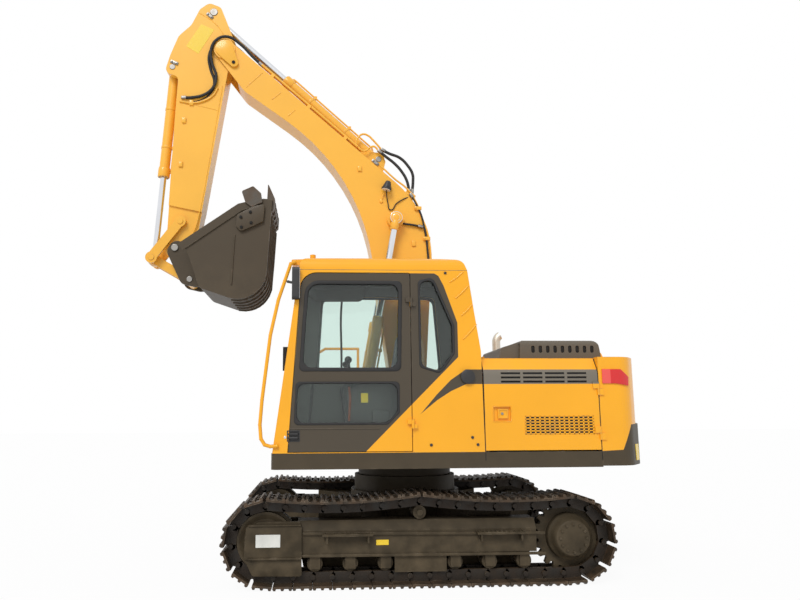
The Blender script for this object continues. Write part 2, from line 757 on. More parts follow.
# %% [markdown]
# ## Hydraulic hoses
# Oil reaches the arm and the bucket through steel lines, and through rubber hoses wherever something
# turns. Each hose leaves its fitting straight, bends no tighter than four diameters and ends in
# another fitting. The two at the boom's nose cross the arm pin, so they bend between the two bodies.

# %% Hoses
HOSE_R, LINE_R = 0.016, 0.010
FITTING_R, FITTING_L = 0.021, 0.055


def hose(name, points, body, radius=HOSE_R, across=None):
    """Rubber with a fitting at each end. Across names a second body and where the blend to it starts and ends."""
    rubber = tube(name, points, radius, sides=8)
    ends = join(name + "_ends", [rod(name + "_end", a, a + (b - a).normalized() * FITTING_L, FITTING_R, 6)
                                 for a, b in ((points[0], points[1]), (points[-1], points[-2]))])
    if across:
        rubber.data.materials.clear()
        rubber.data.materials.append(black_rubber)
        only(rubber)
        bpy.ops.object.shade_smooth()
        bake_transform(rubber)
        ends.data.materials.append(bare_steel)
        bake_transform(ends)
    else:
        black_wear(rubber, body, black_rubber, ROUND_DEG)
        wear(ends, body, bare_steel)
    length = sum((b - a).length for a, b in zip(points, points[1:]))
    print(name, round(length, 2), "m long")


NOSE = ((1.546, 0.13, 5.359), (1.66, 0.14, 5.465), (1.80, 0.165, 5.60), (1.93, 0.19, 5.668), (2.045, 0.20, 5.635),
        (2.115, 0.195, 5.51), (2.10, 0.18, 5.35), (2.055, 0.17, 5.205), (2.085, 0.165, 5.075), (2.18, 0.16, 4.99),
        (2.31, 0.158, 4.955), (2.43, 0.15, 4.955))
for index, (aside, drop) in enumerate(((0.0, 0.0), (-0.034, 0.045))):
    hose(f"nose_hose_{index}", spots((x + drop * 0.5, y + aside, z - drop) for x, y, z in NOSE), "boom",
         across=("arm", at(1.66, 0, 5.55), at(2.06, 0, 5.5)))

# %% Hoses and steel lines at the boom's bend
BEND_Y = (0.110, 0.146)
bend_hoses = (((0.220, 4.412), (0.142, 4.366), (0.008, 4.310), (-0.080, 4.218), (-0.129, 4.126), (-0.133, 4.034),
               (-0.118, 3.895)),
              ((0.257, 4.386), (0.179, 4.317), (0.069, 4.226), (-0.007, 4.135), (-0.061, 4.032), (-0.087, 3.885)))
bend_lines = (spots(((0.479, 0.112, 4.417), (0.500, 0.112, 4.470), (0.476, 0.112, 4.540), (0.420, 0.111, 4.582),
                     (0.362, 0.110, 4.566), (0.309, 0.110, 4.516), (0.220, 0.110, 4.412))),
              beside(((0.479, 4.417), (0.430, 4.376), (0.395, 4.374), (0.357, 4.405), (0.301, 4.426),
                      (0.257, 4.386)), BEND_Y[1]))
for index, (points, y) in enumerate(zip(bend_hoses, BEND_Y)):
    hose(f"bend_hose_{index}", beside(points, y), "boom")
boom_wear(join("bend_lines", [tube("line", points, 0.011, sides=8) for points in bend_lines]), "boom", ROUND_DEG)
corners = ((1.933, 1.062), (2.050, 1.032), (2.070, 1.083), (1.958, 1.127))
manifold = plate("bend_manifold", [on_boom(x, 0.092, z) for x, z in corners], Vector((0, 0.073, 0)))
boom_wear(round_off(manifold, 0.006), "boom")

# %% Hose, line and straps along the boom's back
BACK_Y = 0.177
back_hose = ((-0.090, 3.880), (-0.151, 3.769), (-0.212, 3.622), (-0.252, 3.418), (-0.270, 3.238), (-0.276, 3.060),
             (-0.266, 2.900), (-0.252, 2.700))
back_line = ((0.240, 4.200), (0.080, 4.046), (-0.060, 3.930), (-0.146, 3.798), (-0.219, 3.600), (-0.271, 3.450),
             (-0.301, 3.250), (-0.302, 3.060), (-0.291, 2.900), (-0.277, 2.700))
hose("back_hose", beside(back_hose, BACK_Y), "boom", radius=0.011)
boom_wear(tube("back_line", beside(back_line, BACK_Y - 0.002), LINE_R, sides=8), "boom", ROUND_DEG)
straps = []
for x, z in ((-0.178, 3.712), (-0.268, 3.372), (-0.289, 3.060)):
    strap = side_block("strap", (x - 0.034, x + 0.044), (0.164, 0.191), (z - 0.020, z + 0.020))
    straps.append(round_off(strap, 0.005))
    straps.append(peg("strap_bolt", x + 0.032, z, (0.188, 0.198), 0.010, 6))
boom_wear(join("back_straps", straps), "boom")

# %% [markdown]
# ## Tracks
# A track is a chain of forged links with a flat shoe bolted to each, and every shoe has three low ribs.
# One shoe with its two links, bushing and bolts is modelled once, and copies are set round the loop.
# The loop is the source's own: straight on the ground, round the wheels, and sagging over the roller.

# %% Loop of the track
WHEELBASE, AXLE_Z, LOOP_R, SHOES = 2.730, 0.390, 0.304, 43
TOP_SAG, CARRIER_Z, TRACK_Y, SHOE_W = 0.042, 0.724, 1.0, 0.5
half_base, arc = WHEELBASE / 2, math.pi * LOOP_R
top_z = AXLE_Z + LOOP_R
span = math.hypot(half_base, CARRIER_Z - top_z)
PITCH_LINK = (WHEELBASE + 2 * arc + 2 * span) / SHOES


def on_arc(middle_x, angle):
    return Vector((middle_x + LOOP_R * math.sin(angle), 0, AXLE_Z - LOOP_R * math.cos(angle)))


def on_span(a, b, share):
    return Vector((a[0] + (b[0] - a[0]) * share, 0,
                   a[1] + (b[1] - a[1]) * share - 4 * TOP_SAG * share * (1 - share)))


def loop_at(s):
    """A point on the loop of link pins, s from the sprocket's lowest point and running forward."""
    if s < WHEELBASE:
        return Vector((s - half_base, 0, AXLE_Z - LOOP_R))
    s -= WHEELBASE
    if s < arc:
        return on_arc(half_base, s / LOOP_R)
    s -= arc
    if s < span:
        return on_span((half_base, top_z), (0, CARRIER_Z), s / span)
    s -= span
    if s < span:
        return on_span((0, CARRIER_Z), (-half_base, top_z), s / span)
    return on_arc(-half_base, math.pi + (s - span) / LOOP_R)


chain = [at(*loop_at((i + 0.5) * PITCH_LINK)) for i in range(SHOES)]
print("link pitch", round(PITCH_LINK, 4))

# %% One shoe, its links and its bolts
PLATE_IN, PLATE_OUT, RIB_OUT, RIB_HALF = 0.048, 0.066, 0.086, 0.017
LINK_Y, LINK_T, LINK_IN = 0.091, 0.042, -0.042
SHOE_GAP = 0.003
half_link, half_shoe = PITCH_LINK / 2, SHOE_W / 2
parts = [block("shoe_plate", (-half_link + SHOE_GAP, -half_shoe, PLATE_IN),
               (half_link - SHOE_GAP, half_shoe, PLATE_OUT))]
for share in (-0.4, 0.0, 0.4):
    rib_x = share * PITCH_LINK
    rib = block("rib", (rib_x - RIB_HALF, -half_shoe, PLATE_OUT - 0.001), (rib_x + RIB_HALF, half_shoe, RIB_OUT))
    parts.append(taper(rib, (0.55, 0.93, 1), (rib_x, 0, RIB_OUT)))
link = ((-half_link - 0.03, -0.02), (-half_link - 0.012, LINK_IN), (half_link - 0.006, LINK_IN),
        (half_link + 0.012, -0.015), (half_link - 0.004, PLATE_IN), (-half_link + 0.012, PLATE_IN))
for link_y in (-LINK_Y, LINK_Y):
    parts.append(plate("link", [Vector((x, link_y - LINK_T / 2, z)) for x, z in link], Vector((0, LINK_T, 0))))
    for bolt_x in (-0.1925 * PITCH_LINK, 0.1925 * PITCH_LINK):
        parts.append(rod("shoe_bolt", (bolt_x, link_y, PLATE_OUT - 0.002), (bolt_x, link_y, PLATE_OUT + 0.012),
                         0.014, 6))
clear()
bpy.ops.mesh.primitive_cylinder_add(vertices=10, radius=0.022, depth=0.27, location=(-half_link, 0, 0),
                                    rotation=(math.pi / 2, 0, 0))
parts.append(settle(bpy.context.object))
shoe = join("shoe", parts)


def shoe_places(y):
    for a, b in zip(chain, chain[1:] + chain[:1]):
        way = (b - a).normalized()
        out = Vector((way.z, 0, -way.x))
        turn = Matrix((way, (0, -1, 0), out)).transposed().to_4x4()
        yield Matrix.Translation((a + b) / 2 + Vector((0, y, 0))) @ turn


for side, sign in SIDES:
    track = copies(f"track_shoes_{side}", shoe, shoe_places(sign * TRACK_Y))
    wear(track, "undercarriage", track_steel, 25)
    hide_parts(f"track_{side}")
bpy.data.objects.remove(shoe)

# %% [markdown]
# ## Window seals
# Every pane is held by a black rubber seal that fills the edge of its cut-out. A seal is a frame bridged
# between two rings, the outline of the cut-out and a hole with rounder corners, and then pulled out.

# %% Outlines of the panes
door_upper = ((1.082, 1.870, 0.04), (1.028, 2.700, 0.13), (0.140, 2.700, 0.05), (0.160, 1.870, 0.05))
door_lower = ((1.122, 1.395, 0.04), (1.108, 1.778, 0.04), (0.176, 1.778, 0.04), (0.176, 1.5, 0.04),
              (0.285, 1.395, 0.04))
quarter = ((-0.005, 2.705, 0.04), (-0.150, 2.735, 0.06), (-0.335, 2.290, 0.08), (-0.335, 2.030, 0.06),
           (-0.200, 1.845, 0.06), (-0.005, 1.905, 0.05))
right_side = ((0.930, 1.880, 0.06), (0.880, 2.690, 0.06), (-0.300, 2.690, 0.06), (-0.360, 1.880, 0.06))
rear_y = ((0.470, 1.960, 0.06), (1.090, 1.960, 0.06), (1.090, 2.640, 0.06), (0.470, 2.640, 0.06))


def inside(points, width, radius):
    """The corners of an outline moved in by a width and turned with a wider radius."""
    made = []
    for i, point in enumerate(points):
        here, back, on, half = corner(points, i)
        moved = here + (back + on).normalized() * (width / math.sin(half))
        made.append((*moved, max(radius, point[2] - width)))
    return made


SCREEN_X, SCREEN_LEAN, SCREEN_Z, SCREEN_H = 1.310, 0.223, 1.15, 1.65
REAR_TOP_X, REAR_TOP_Z, REAR_BEND_X, REAR_BEND_Z = -0.470, 2.8, -0.520, 2.43


def pillar_x(z):
    return SCREEN_X - SCREEN_LEAN * (z - SCREEN_Z) / SCREEN_H


def rear_x(z):
    """The rear wall, which slopes in two parts above and below its bend."""
    if z > REAR_BEND_Z:
        return REAR_TOP_X - 0.050 * (REAR_TOP_Z - z) / 0.37
    return REAR_BEND_X - 0.055 * (REAR_BEND_Z - z) / 0.38


def on_screen(out, y, z):
    return at(pillar_x(z) + out, y, z)


# %% Seals round the panes
SEAL_Y, SEAL_SIDE, SEAL_ROUND = 1.2168, 0.350, 0.006


def seal(name, corners, width, radius, place, depth, body):
    """A rubber frame between an opening's outline and a hole with rounder corners."""
    outlines = rounded(corners), rounded(inside(corners, width, radius))
    obj = join(name, [settle(drawn("ring", [place(p) for p in outline], "NOTHING")) for outline in outlines])
    only(obj)
    bpy.ops.object.mode_set(mode="EDIT")
    bpy.ops.mesh.select_all(action="SELECT")
    bpy.ops.mesh.bridge_edge_loops()
    leave_edit()
    black_wear(round_off(pull_out(obj, Vector(depth)), SEAL_ROUND), body, black_rubber, 50)


for name, corners, width, radius, body in (("door_upper_seal", door_upper, 0.034, 0.075, "door"),
                                           ("door_lower_seal", door_lower, 0.020, 0.07, "door"),
                                           ("quarter_seal", quarter, 0.022, 0.06, "upper")):
    seal(name, corners, width, radius, lambda p: at(p.x, SEAL_Y, p.y), (0, 0.028, 0), body)
seal("right_side_seal", right_side, 0.024, 0.07, lambda p: at(p.x, SEAL_SIDE, p.y), (0, -0.020, 0), "upper")
seal("rear_seal", rear_y, 0.022, 0.07, lambda p: at(rear_x(p.y) + 0.0155, p.x, p.y), (-0.022, 0, 0), "upper")
for name, low, high in (("screen_upper_seal", 1.700, 2.755), ("screen_lower_seal", 1.240, 1.640)):
    corners = [(y, z, 0.03) for y, z in ((0.395, low), (1.160, low), (1.160, high), (0.395, high))]
    seal(name, corners, 0.024, 0.05, lambda p: on_screen(-0.0135, p.x, p.y), (0.018, 0, 0), "upper")

# %% [markdown]
# ## Inside the cab
# Through the panes one sees a dark headliner, a grab bar, the seat and the side of its console. The headliner
# is a moulding with a rounded lower front. The seat has a base, a shell and padded cushions blown up as cloth.

# %% Headliner, grab bar and the seat's frame
liner = panel("headliner", ((1.028, 2.795), (1.012, 2.690, 0.05), (0.930, 2.628, 0.05), (0.455, 2.632, 0.06),
                            (0.425, 2.795)), 0.42, 0.73)
black_wear(round_off(liner, 0.015, 3), "upper", dark_hollow)
grab = spots(((0.673, 0.425, 1.80), (0.673, 0.43, 2.05), (0.672, 0.43, 2.60), (0.655, 0.43, 2.70),
              (0.60, 0.425, 2.77), (0.53, 0.42, 2.80)))
black_wear(tube("grab_bar", grab, 0.011, sides=8), "upper", smooth=70)

CAB_IN, CAB_OUT = 0.335 + 0.040, 1.240 - 0.060
SEAT_Y, SEAT_Z = (CAB_IN + CAB_OUT) / 2, 1.545
base = block("seat_base", at(0.18, SEAT_Y - 0.15, 1.191), at(0.56, SEAT_Y + 0.15, SEAT_Z))
round_off(taper(base, (0.82, 0.86, 1), at(0.37, SEAT_Y, SEAT_Z)), 0.02, 3)
shell = panel("seat_shell", ((0.10, SEAT_Z), (0.60, 1.555), (0.60, 1.575), (0.115, 1.575, 0.03), (0.058, 1.72, 0.05),
                             (0.0, 2.26), (-0.028, 2.26), (0.03, 1.69, 0.06)), SEAT_Y - 0.20, 0.40)
round_off(shell, 0.008)
posts = [rod("rest_post", at(0.035, y, 2.22), at(0.022, y, 2.36), 0.007, 12)
         for y in (SEAT_Y - 0.06, SEAT_Y + 0.06)]
seat_frame = join("seat_frame", [base, shell] + posts)
black_wear(seat_frame, "upper")

# %% Padded cushions
AIR_FRAMES, PUFF_MAX = 20, 0.014
SEAM_HALF, SEAM_DEEP = 0.016, 0.009


def cushion(name, outline, half_width, panel_seams):
    """A closed pad between two side faces: voxels, a little air pressure, then smooth skin."""
    pad = panel(name, outline, SEAT_Y - half_width, 2 * half_width, 5)
    round_off(pad, 0.022, 3, 50)
    apply_modifier(pad, "REMESH", mode="VOXEL", voxel_size=0.014)
    start = [v.co.copy() for v in pad.data.vertices]
    middle = sum(start, Vector()) / len(start)
    only(pad)
    air = pad.modifiers.new("air", "CLOTH")
    air.settings.use_pressure = True
    air.settings.uniform_pressure_force = 4.0
    air.settings.effector_weights.gravity = 0.0
    air.point_cache.frame_end = AIR_FRAMES
    for moment in range(1, AIR_FRAMES + 1):
        bpy.context.scene.frame_set(moment)
    bpy.ops.object.modifier_apply(modifier=air.name)
    bpy.context.scene.frame_set(1)
    for vertex, was in zip(pad.data.vertices, start):
        way = vertex.co - was
        if way.length > PUFF_MAX:
            vertex.co = was + way * (PUFF_MAX / way.length)
    for vertex in pad.data.vertices:
        for seam_y in panel_seams:
            near = abs(abs(vertex.co.y - SEAT_Y) - seam_y)
            if near < SEAM_HALF:
                inward = (middle - vertex.co).normalized()
                vertex.co += inward * SEAM_DEEP * (1 - near / SEAM_HALF) ** 2
    pad.data.update()
    apply_modifier(pad, "SUBSURF", levels=1, render_levels=1)
    wear(pad, "upper", seat_cloth, 180)


cushion("seat_cushion", ((0.135, 1.585, 0.03), (0.625, 1.605, 0.04), (0.625, 1.690, 0.04), (0.135, 1.655, 0.03)),
        0.22, (0.135,))
cushion("seat_back", ((0.115, 1.705, 0.02), (0.225, 1.700, 0.05), (0.120, 2.275, 0.05), (0.025, 2.275, 0.03)),
        0.21, (0.125,))
cushion("head_rest", ((-0.005, 2.325, 0.02), (0.085, 2.325, 0.02), (0.062, 2.465, 0.03), (-0.025, 2.465, 0.03)),
        0.115, ())
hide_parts("seat")

# %% [markdown]
# ## Fittings on the cab
# Small things make the size of a machine readable: the door's handle, the creases pressed in the rear
# pillar, a round tank cap, bolts, the mirrors' glass, the wiper and a lamp on the roof.

# %% Handle, creases, cap and bolts
BODY_Y = 1.240
handle_plate = side_block("handle_plate", (1.068, 1.182), (1.2370, 1.2425), (1.252, 1.350))
emboss(handle_plate, 1, (0.010, -0.004))
grips = [tube("grip", spots(((1.085, 1.243, z), (1.090, out, z), (1.160, out, z), (1.166, 1.243, z))), radius,
              smooth=False) for z, out, radius in ((1.285, 1.262, 0.008), (1.318, 1.256, 0.007))]
black_wear(join("door_handle", [round_off(handle_plate, 0.003)] + grips), "door")
wear(dot("door_lock", 1.197, 1.290, 1.238, 0.012, 0.006), "door", chrome)
crease = tube("door_crease", [at(x, 1.2375, 1.362) for x in (0.36, 0.40, 1.12, 1.16)], 0.007, smooth=False)
wear(crease, "door", door_paint, 70)
presses = []
for (x0, z0), (x1, z1) in (((-0.432, 2.79), (-0.300, 2.690)), ((-0.478, 2.660), (-0.352, 2.540)),
                           ((-0.505, 2.480), (-0.400, 2.378)), ((-0.540, 2.300), (-0.414, 2.162))):
    bow = ((x0, 1.2395, z0), ((x0 + x1) / 2, 1.2415, (z0 + z1) / 2 - 0.006), (x1, 1.2395, z1))
    presses.append(tube("press", spots(bow), 0.0075))
wear(join("pillar_creases", presses), "upper", yellow_paint, ROUND_DEG)
cap = dot("cap", -0.443, 1.820, BODY_Y, 0.060, 0.026, 32)
black_wear(emboss(cap, 1, (0.012, -0.006), (0.018, 0.010)), "upper")
black_wear(join("cab_bolts", [dot("bolt", x, z, BODY_Y, 0.014, 0.009, 6) for x, z in
                              ((-0.262, 2.776), (-0.473, 1.279), (-0.10, 1.215), (-0.52, 1.215))]), "upper")

# %% Mirror glass, wiper, roof lamp
silver = metal("mirror_silver", linear(235, 238, 240), 0.03, 2.0)
oval = rounded([(y, z, 0.024) for y, z in ((-0.028, -0.145), (0.028, -0.145), (0.028, 0.145), (-0.028, 0.145))])
for side, x, y, z in (("left", 1.115, 1.276, 2.665), ("right", 1.315, -1.276, 2.180)):
    glass = plate(f"mirror_glass_{side}", [at(x - 0.0335, y + p.x, z + p.y) for p in oval], Vector((-0.004, 0, 0)))
    wear(round_off(glass, 0.0015), "upper", silver)
clip_x = pillar_x(2.22)
sweep = [rod("wiper_pivot", on_screen(-0.006, 0.62, 1.68), on_screen(0.022, 0.62, 1.68), 0.022, 16),
         tube("wiper_arm", [on_screen(0.018, y, z) for y, z in ((0.62, 1.68), (0.66, 1.95), (0.70, 2.22))], 0.006),
         tube("wiper_blade", [on_screen(-0.004, y, z) for y, z in ((0.64, 1.90), (0.70, 2.22), (0.755, 2.55))], 0.008),
         side_block("wiper_clip", (clip_x - 0.006, clip_x + 0.024), (0.688, 0.712), (2.20, 2.24))]
black_wear(join("wiper", sweep), "upper")
ROOF_LAMP = (0.965, 0.80)
lamp_stem = rod("roof_stem", at(*ROOF_LAMP, 2.915), at(*ROOF_LAMP, 2.985), 0.012, 12)
lamp_head = rod("roof_head", at(*ROOF_LAMP, 2.980), at(*ROOF_LAMP, 3.040), 0.028, 20)
taper(lamp_head, (0.6, 0.6, 1), at(*ROOF_LAMP, 3.040))
wear(join("roof_lamp", [lamp_stem, lamp_head]), "upper", yellow_paint)

# %% [markdown]
# ## Fittings on the engine bay
# Air goes in through louvres and a grille and out through slots in the hood's cover. A slot looks deep
# because what is behind it is dark, so each gets a dull black back, and the grille is bars over such a back.

# %% Louvres, grille, latch and cover slots
SEAM_LINE = ((1.236, 1.075), (1.236, 1.820), (1.230, 1.858), (1.214, 1.890), (1.150, 1.985))
LATCH_RIM = ((-0.832, 1.418), (-0.668, 1.418), (-0.668, 1.552), (-0.832, 1.552))
LOUVRE_STEP_X, LOUVRE_STEP_Z, BAR_STEP_X, BAR_STEP_Z = 0.205, 0.038, 0.0446, 0.0262
bar_ys = (BODY_Y - 0.002, BODY_Y + 0.004)
for side, sign in SIDES:
    body, face = f"{side}_bay_door", sign * BODY_Y
    backs = []
    for x in [-0.750 - column * LOUVRE_STEP_X for column in range(4)]:
        for z in [1.765 + row * LOUVRE_STEP_Z for row in range(3)]:
            backs.append(side_block("louvre", (x - 0.1795, x - 0.0005), (BODY_Y - 0.0150, BODY_Y - 0.0095),
                                    (z + 0.0005, z + 0.0175), sign))
    seams = [tube("seam", [at(x, sign * y, z) for y, z in SEAM_LINE], 0.0055, smooth=False)
             for x in (-1.651, -0.5885)]
    black_wear(join(f"door_seams_{side}", seams), "upper", dark_hollow)
    backs.append(side_block("grille_back", (-1.585, -0.965), (BODY_Y - 0.003, BODY_Y + 0.001), (1.305, 1.463), sign))
    bars = [side_block("bar", (-1.592 + i * BAR_STEP_X, -1.577 + i * BAR_STEP_X), bar_ys, (1.300, 1.468), sign)
            for i in range(15)]
    bars += [side_block("bar", (-1.592, -0.953), bar_ys, (1.300 + i * BAR_STEP_Z, 1.3115 + i * BAR_STEP_Z), sign)
             for i in range(7)]
    bars = round_off(join("grille_bars", bars), 0.0025, 1)
    black_wear(join(f"louvre_backs_{side}", backs), body, dark_hollow)
    wear(bars, body, yellow_paint)
    paddle = side_block("latch", (-0.805, -0.712), (BODY_Y - 0.0215, BODY_Y - 0.004), (1.444, 1.530), sign)
    emboss(paddle, sign, (0.012, -0.006))
    rim = tube("rim", beside(LATCH_RIM, face), 0.006, closed=True, smooth=False)
    wear(join(f"latch_{side}", [round_off(paddle, 0.004), rim]), body, yellow_paint)
    lock = dot(f"latch_lock_{side}", -0.752, 1.487, face - sign * 0.012, 0.012, 0.010, sign=sign)
    wear(lock, body, bare_steel)

SLOT_STEP = 0.0715
slots = []
for x in [-1.148 - i * SLOT_STEP for i in range(9)]:
    for ys in ((0.156, 0.174), (0.976, 0.994)):
        slots.append(round_off(side_block("slot", (x, x + 0.032), ys, (2.059, 2.125)), 0.012, 2))
black_wear(join("cover_slots", slots), "engine_hood", dark_hollow)

# %% [markdown]
# ## Lamps and plates wrapped on a curved casting
# The rear lamps bend round the corner of the counterweight. A flat net is drawn in the side view, thrown
# on to the casting with Shrinkwrap, and then given its thickness, so that it fits whatever is under it.

# %% Rear lamps and reflective plates
def along(line, share):
    share *= len(line) - 1
    i = min(int(share), len(line) - 2)
    return Vector(line[i]).lerp(Vector(line[i + 1]), share - i)


def wrapped(name, upper, lower, target, sign, thickness):
    """A net between two polylines of X and Z, laid on the target from the side."""
    clear()
    bpy.ops.mesh.primitive_grid_add(x_subdivisions=24, y_subdivisions=8)
    net = bpy.context.object
    net.name = name
    for vertex in net.data.vertices:
        u, v = (vertex.co.x + 1) / 2, (vertex.co.y + 1) / 2
        p = along(lower, u).lerp(along(upper, u), v)
        vertex.co = at(p.x, sign * 1.6, p.y)
    net.data.update()
    settle(net)
    apply_modifier(net, "SHRINKWRAP", target=nodes[target], wrap_method="PROJECT", offset=0.0015, use_project_y=True,
                   use_negative_direction=sign > 0, use_positive_direction=sign < 0)
    pick(net, lambda normal: True)
    if sign * sum(face.normal.y for face in net.data.polygons) < 0:
        bpy.ops.mesh.flip_normals()
    leave_edit()
    apply_modifier(net, "SOLIDIFY", thickness=thickness, offset=1)
    return round_off(net, thickness * 0.35, 2, 50)


reflector, tree, sockets, place = finish("reflector", 0.25)
cells = add(tree, "ShaderNodeTexVoronoi", {"Vector": place, "Scale": 160.0}).outputs["Distance"]
put(tree, sockets["Base Color"], mix(tree, cells, linear(246, 214, 60), linear(232, 190, 30)))
bump(tree, sockets, cells, 0.2, 0.001)
blank_white = grained("blank_white", linear(228, 228, 222), 0.4, 500.0, 0.05)
for side, sign in SIDES:
    lens = wrapped(f"rear_lamp_{side}", ((-1.687, 1.886), (-1.862, 1.886), (-1.945, 1.815)),
                   ((-1.687, 1.755), (-1.810, 1.755), (-1.938, 1.735)), "counterweight", sign, 0.012)
    black_wear(lens, "upper", red_lens)
    patch = wrapped(f"reflector_{side}", ((-2.005, 1.205), (-2.075, 1.205)), ((-2.015, 1.058), (-2.085, 1.058)),
                    "counterweight_base", sign, 0.004)
    wear(patch, "upper", reflector)

# %% Blank plates on the track frames
for side, sign in SIDES:
    for name, xs, zs, y, material in (("side_plate", (1.231, 1.444), (0.350, 0.457), 1.184, blank_white),
                                      ("rail_plate", (0.282, 0.393), (0.352, 0.397), 1.155, reflector)):
        blank = side_block(f"{name}_{side}", xs, (y, y + 0.004), zs, sign)
        wear(round_off(blank, 0.0015, 1), "undercarriage", material)

# %% [markdown]
# ## Fittings on the boom, arm and cylinders
# Pins are kept by small bolted plates, plates are joined by weld beads, steel lines run along the barrels,
# and the eye of each rod is a painted forging that only the chromed rod leaves bare.

# %% Rod eyes and lines of the cylinders
LINK_PIN = at(2.682, 0, 3.1458)
EYE_R, EYE_PIN_R = 0.0675, 0.038
CYLINDER_BODIES = {"boom": ("boom_rods", "boom_barrels"), "arm": ("arm_rod", "arm_barrel"),
                   "bucket": ("bucket_rod", "bucket_barrel")}
cylinders = [("boom", at(0.500, y, 1.270), on_boom(1.815, y, 0.790), 0.070, 0.036, 0.054, 1.25)
             for y in (0.258, -0.258)]
cylinders += [("arm", on_boom(2.535, 0, 0.968), on_arm(-0.425, 0, 0.225), 0.088, 0.038, 0.058, 1.42),
              ("bucket", on_arm(0.323, 0, 0.519), LINK_PIN, 0.088, 0.033, 0.056, 1.24)]
groups = defaultdict(list)
for kind, foot, eye, width, rod_r, barrel_r, length in cylinders:
    way = (eye - foot).normalized()
    lift = Vector((-way.z, 0, way.x)) * (-1 if kind == "bucket" else 1)
    across = Vector((0, width / 2 + 0.0015, 0))
    groups[kind, "rod_eyes"] += [rod("eye", eye - across, eye + across, EYE_R, 40),
                                 rod("neck", eye - way * 0.135, eye - way * 0.03, rod_r + 0.011, 28)]
    if kind != "arm":
        groups[kind, "eye_pins"].append(rod("eye_pin", eye - across * 1.12, eye + across * 1.12, EYE_PIN_R, 24))
    start, stop = foot + way * 0.13, foot + way * (length - 0.045)
    out = lift * (barrel_r + 0.020)
    line = [start + lift * barrel_r, start + way * 0.03 + out, start + way * 0.10 + out, stop - way * 0.06 + out,
            stop - way * 0.02 + out * 0.97, stop + lift * barrel_r * 0.96]
    groups[kind, "barrel_lines"] += [
        tube("line", line, LINE_R, sides=8, smooth=False),
        sleeve("gland", stop - way * 0.055, stop + way * 0.044, barrel_r + 0.009, barrel_r + 0.007 - rod_r)]
    half_saddle = Vector((0.018, 0.016, 0.018))
    for share in (0.3, 0.72):
        middle = start.lerp(stop, share)
        groups[kind, "barrel_lines"] += [
            sleeve("band", middle - way * 0.014, middle + way * 0.014, barrel_r + 0.004, 0.006),
            block("saddle", middle + out - half_saddle, middle + out + half_saddle)]
    for t in [math.pi / 4 * k for k in range(8)]:
        seat = stop + way * 0.044 + (lift * math.cos(t) + Vector((0, math.sin(t), 0))) * (barrel_r - 0.006)
        groups[kind, "gland_bolts"].append(rod("gland_bolt", seat - way * 0.003, seat + way * 0.007, 0.008, 6))
for (kind, role), pieces in groups.items():
    rod_body, barrel_body = CYLINDER_BODIES[kind]
    group = join(f"{kind}_{role}", pieces)
    if role == "gland_bolts":
        wear(group, barrel_body, bare_steel)
    else:
        boom_wear(group, barrel_body if role == "barrel_lines" else rod_body)


# %% Pin keepers and nose flags
FLAG_Y, FLAG_T = 0.1825, 0.012


def keeper(frame_of, x, z, y, reach, turn_deg):
    """A small plate over the edge of a pin, held by two bolts, on both ends of the pin."""
    made = []
    cos, sin = math.cos(math.radians(turn_deg)), math.sin(math.radians(turn_deg))
    corners = ((reach, -0.045), (reach + 0.035, -0.045), (reach + 0.035, 0.045), (reach, 0.045))
    for sign in (1, -1):
        def spot(u, v, w):
            return frame_of(x + u * cos - v * sin, sign * (y + w), z + u * sin + v * cos)

        flag = plate("flag", [spot(u, v, 0.0) for u, v in corners], spot(0, 0, FLAG_T) - spot(0, 0, 0))
        made.append(round_off(flag, 0.003))
        for v in (-0.026, 0.026):
            made.append(rod("keeper_bolt", spot(reach + 0.018, v, 0.010), spot(reach + 0.018, v, 0.022), 0.011, 6))
    return made


drop = arc_points((4.42, 0), 0.100, -108, 12, 19) + arc_points((4.218, 0.020), 0.048, 108, 12, 13)
flags, flag_bolts = [], []
for sign in (1, -1):
    flag = plate("flag", [on_boom(x, sign * FLAG_Y, z) for x, z in drop], Vector((0, sign * FLAG_T, 0)))
    flags.append(round_off(flag, 0.003))
    flag_bolts.append(rod("flag_bolt", on_boom(4.222, sign * 0.192, 0.018), on_boom(4.222, sign * 0.206, 0.018),
                          0.020, 6))
boom_wear(join("nose_flags", flags), "boom")
black_wear(join("nose_flag_bolts", flag_bolts), "boom", dark_hollow)
wear(join("boom_keepers", keeper(on_boom, 2.535, 0.968, 0.0965, 0.036, 250)), "boom", bare_steel)
arm_keepers = keeper(on_arm, -0.425, 0.225, 0.1405, 0.046, 30) + keeper(on_arm, 0.323, 0.519, 0.1405, 0.036, 190)
wear(join("arm_keepers", arm_keepers), "arm", bare_steel)

# %% Weld beads, rims, clips and a blank tag
BOOM_FACE, ARM_FACE = 0.1645, 0.1395
ARM_LEN = (pins["bucket_curl"] - pins["arm_swing"]).length


def beads(name, body, lines, y, radius):
    made = [tube("bead", beside(line, sign * y), radius, sides=6, smooth=len(line) > 2)
            for line in lines for sign in (1, -1)]
    boom_wear(join(name, made), body, ROUND_DEG)


def clips(name, body, middles, y, thick):
    made = [round_off(side_block("clip", (x - 0.022, x + 0.022), (y, y + thick), (z - 0.03, z + 0.03)), 0.005)
            for x, z in middles]
    boom_wear(join(name, made), body)


